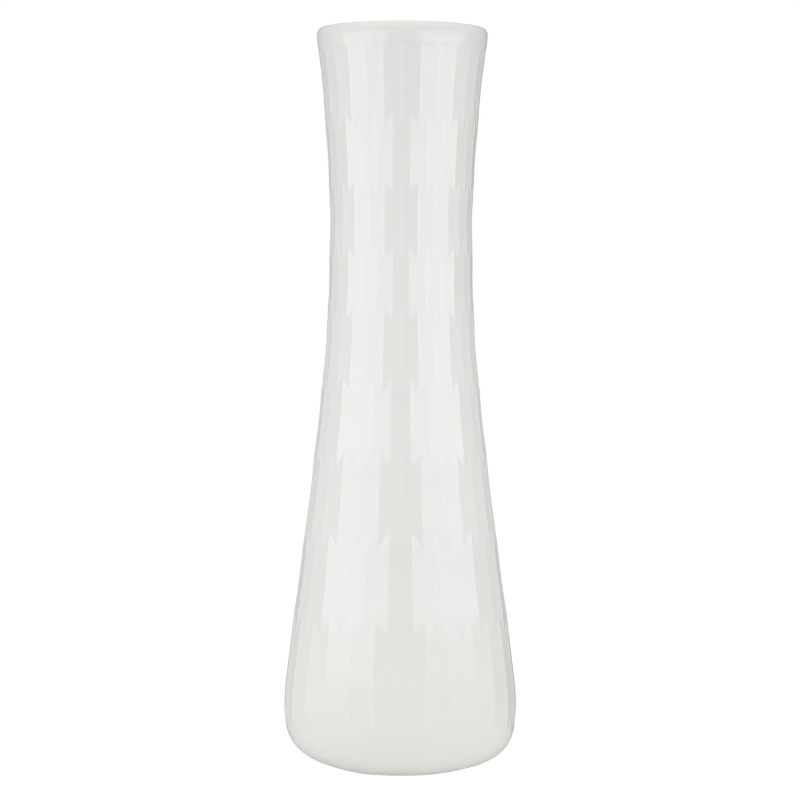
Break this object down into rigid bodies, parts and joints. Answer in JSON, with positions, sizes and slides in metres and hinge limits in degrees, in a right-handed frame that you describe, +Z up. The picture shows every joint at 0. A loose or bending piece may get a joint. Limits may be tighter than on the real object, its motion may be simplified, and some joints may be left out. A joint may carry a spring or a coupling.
{
  "type": "slim vase",
  "caption": "Tall slim porcelain vase with a flared rim, drawn-in waist and rounded base, its wall faceted in staggered tiers.",
  "frame": {"origin": "centre of the foot ring on the plane that the vase stands on", "axes": "+Z up along the vase's axis; -Y towards the viewer of the picture, where a ridge of the top tier lies"},
  "size_m": [0.0936, 0.0934, 0.3],
  "materials": {
    "white_glaze": "glossy white glaze with a faint warm grey cast"
  },
  "bodies": {
    "root": {"vase_body": "white_glaze"}
  },
  "joints": []
}
